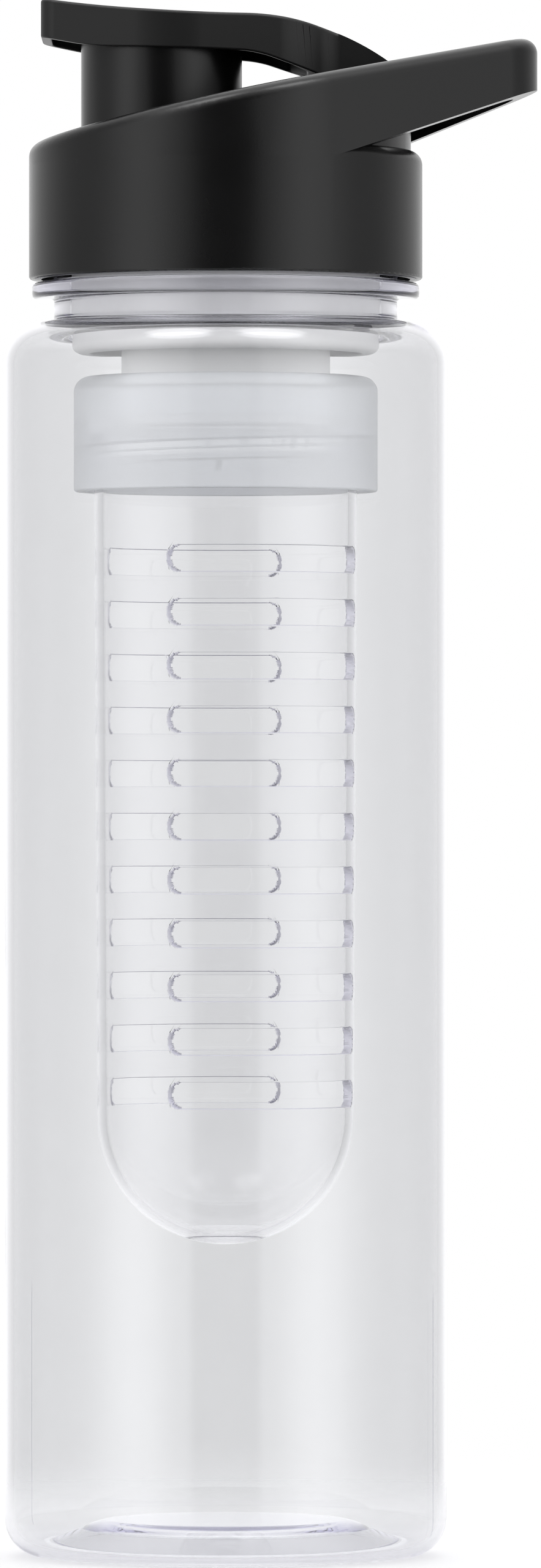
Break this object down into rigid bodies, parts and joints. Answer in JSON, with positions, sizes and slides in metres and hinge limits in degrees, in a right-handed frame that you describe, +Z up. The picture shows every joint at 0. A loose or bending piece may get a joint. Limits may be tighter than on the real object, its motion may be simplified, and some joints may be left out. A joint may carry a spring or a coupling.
{
  "type": "fruit infuser water bottle",
  "caption": "Clear water bottle with a screw cap, carry loop and hinged flip lid over a drinking spout, and a slotted infuser basket screwed to a holder in the neck.",
  "frame": {"origin": "on the bottle's axis, in the plane of the foot ring that it stands on", "axes": "+Z up along the bottle's axis, +X towards the carry loop, XZ the mid-plane of the cap"},
  "size_m": [0.088, 0.073, 0.2567],
  "materials": {
    "clear_bottle": "clear glossy copolyester",
    "clear_basket": "clear glossy copolyester",
    "white_plastic": "smooth white polypropylene",
    "frosted_plastic": "translucent polypropylene",
    "black_plastic": "satin black polypropylene",
    "silicone": "pale soft silicone",
    "steel_pin": "ground stainless pin"
  },
  "bodies": {
    "bottle": {"bottle_body": "clear_bottle"},
    "holder": {"infuser_holder": "white_plastic", "rim_gasket": "silicone"},
    "gasket": {"cap_gasket": "silicone"},
    "cap": {"screw_cap": "black_plastic", "hinge_pin": "steel_pin"},
    "lid": {"flip_lid": "black_plastic", "spout_seal": "silicone"},
    "collar": {"infuser_collar": "frosted_plastic"},
    "basket": {"infuser_basket": "clear_basket"}
  },
  "joints": [
    {"name": "infuser_lift", "type": "slide", "parent": "bottle", "child": "holder", "axis": [0, 0, 1], "range_m": [0, 0.185]},
    {"name": "cap_rise", "type": "slide", "parent": "holder", "child": "gasket", "axis": [0, 0, 1], "range_m": [0, 0.00676]},
    {"name": "cap_screw", "type": "hinge", "parent": "gasket", "child": "cap", "pos_m": [0, 0, 0.22], "axis": [0, 0, 1], "range_deg": [0, 540]},
    {"name": "lid_hinge", "type": "hinge", "parent": "cap", "child": "lid", "pos_m": [0.025, 0, 0.2413], "axis": [0, 1, 0], "range_deg": [0, 105]},
    {"name": "collar_turn", "type": "hinge", "parent": "holder", "child": "collar", "pos_m": [0, 0, 0.185], "axis": [0, 0, 1], "range_deg": [0, 720]},
    {"name": "basket_drop", "type": "slide", "parent": "holder", "child": "basket", "axis": [0, 0, -1], "range_m": [0, 0.00801]}
  ],
  "couplings": [
    {"joint": "cap_rise", "follows": "cap_screw", "m_per_rad": 0.0007162},
    {"joint": "basket_drop", "follows": "collar_turn", "m_per_rad": 0.00063662}
  ]
}
